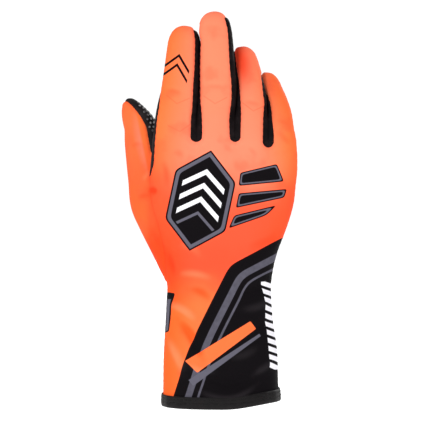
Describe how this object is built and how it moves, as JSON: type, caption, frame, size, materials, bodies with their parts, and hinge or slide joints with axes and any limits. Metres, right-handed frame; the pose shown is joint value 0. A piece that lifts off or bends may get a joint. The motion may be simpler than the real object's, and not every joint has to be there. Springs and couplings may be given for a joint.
{
  "type": "karting glove",
  "caption": "Right-hand karting glove with a long flared cuff, filled as when worn: hollow fabric shell with side strips between the fingers and a folded hem band.",
  "frame": {"origin": "middle of the cuff's mouth, in the plane of the hem's lower edge, where the wrist goes in", "axes": "+Z along the fingers, -Y out of the back of the hand, +Y out of the palm, -X towards the thumb"},
  "size_m": [0.1197, 0.0718, 0.2683],
  "materials": {
    "orange_jersey": "matte stretch jersey, printed",
    "black_suede": "matte synthetic suede with small silicone grip marks",
    "black_stretch": "matte stretch knit",
    "black_tape": "elastic tape, slight sheen"
  },
  "bodies": {
    "root": {"back_panel": "orange_jersey", "palm_panel": "black_suede", "cuff_underside": "orange_jersey", "thumb_back": "orange_jersey", "thumb_palm": "black_suede", "fourchette_index_middle": "black_stretch", "fourchette_middle_ring": "black_stretch", "fourchette_ring_little": "black_stretch", "hem_band": "black_tape"}
  },
  "joints": []
}
